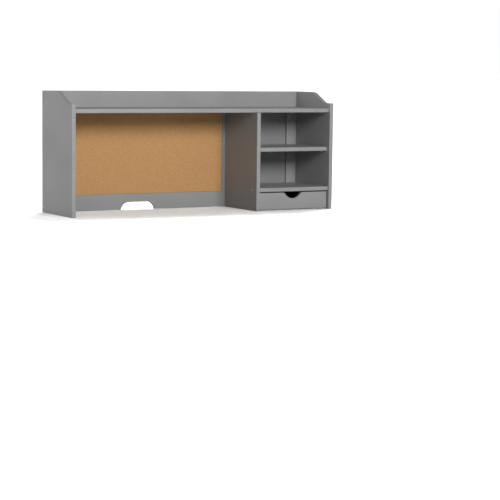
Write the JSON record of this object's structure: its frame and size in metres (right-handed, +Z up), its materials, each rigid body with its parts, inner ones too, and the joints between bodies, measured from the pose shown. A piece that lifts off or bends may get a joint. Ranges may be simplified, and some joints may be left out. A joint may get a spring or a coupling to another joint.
{
  "type": "desk hutch",
  "caption": "Low painted hutch for the back of a desk: wide open bay with a cork board, cubbies over a small drawer, and a top shelf with a raised back rail.",
  "frame": {"origin": "middle of the footprint, on the desk top that the hutch stands on", "axes": "+X along the width, to the right for someone facing the front; -Y out of the front, the way the drawer opens; +Z up"},
  "size_m": [1.09, 0.266, 0.445],
  "materials": {
    "grey_paint": "satin grey paint on board",
    "cork": "raw granulated cork",
    "dowel_wood": "raw hardwood",
    "zinc": "bright zinc plate"
  },
  "bodies": {
    "hutch": {"left_side_panel": "grey_paint", "right_side_panel": "grey_paint", "centre_divider": "grey_paint", "top_shelf": "grey_paint", "upper_cubby_shelf": "grey_paint", "lower_cubby_shelf": "grey_paint", "back_top_rail": "grey_paint", "back_bottom_rail": "grey_paint", "back_left_stile": "grey_paint", "back_middle_stile": "grey_paint", "back_right_stile": "grey_paint", "cork_backing_panel": "grey_paint", "cubby_back_panel": "grey_paint", "cork_board": "cork", "drawer_runner_left": "dowel_wood", "drawer_runner_right": "dowel_wood", "left_top_shelf_dowel": "dowel_wood", "right_top_shelf_dowel": "dowel_wood", "divider_lower_shelf_dowel": "dowel_wood", "right_lower_shelf_dowel": "dowel_wood", "divider_top_dowel": "dowel_wood", "left_stile_lower_dowel": "dowel_wood", "left_stile_upper_dowel": "dowel_wood", "middle_stile_lower_dowel": "dowel_wood", "middle_stile_upper_dowel": "dowel_wood", "right_stile_lower_dowel": "dowel_wood", "right_stile_upper_dowel": "dowel_wood", "left_top_shelf_bolt": "zinc", "right_top_shelf_bolt": "zinc", "left_top_rail_bolt": "zinc", "right_top_rail_bolt": "zinc", "left_bottom_rail_bolt": "zinc", "right_bottom_rail_bolt": "zinc", "divider_lower_shelf_bolt": "zinc", "right_lower_shelf_bolt": "zinc", "divider_top_bolt": "zinc", "shelf_back_screw_1": "zinc", "shelf_back_screw_2": "zinc", "shelf_back_screw_3": "zinc", "divider_back_screw_1": "zinc", "divider_back_screw_2": "zinc", "runner_screw_left_front": "zinc", "runner_screw_left_rear": "zinc", "runner_screw_right_front": "zinc", "runner_screw_right_rear": "zinc", "shelf_pin_left_front": "zinc", "shelf_pin_left_rear": "zinc", "shelf_pin_right_front": "zinc", "shelf_pin_right_rear": "zinc"},
    "drawer": {"drawer_front": "grey_paint", "drawer_left_side": "grey_paint", "drawer_right_side": "grey_paint", "drawer_back": "grey_paint", "drawer_bottom": "grey_paint", "drawer_left_screw": "zinc", "drawer_right_screw": "zinc", "drawer_left_dowel": "dowel_wood", "drawer_right_dowel": "dowel_wood"}
  },
  "joints": [
    {"name": "drawer_slide", "type": "slide", "parent": "hutch", "child": "drawer", "axis": [0, -1, 0], "range_m": [0, 0.16]}
  ]
}
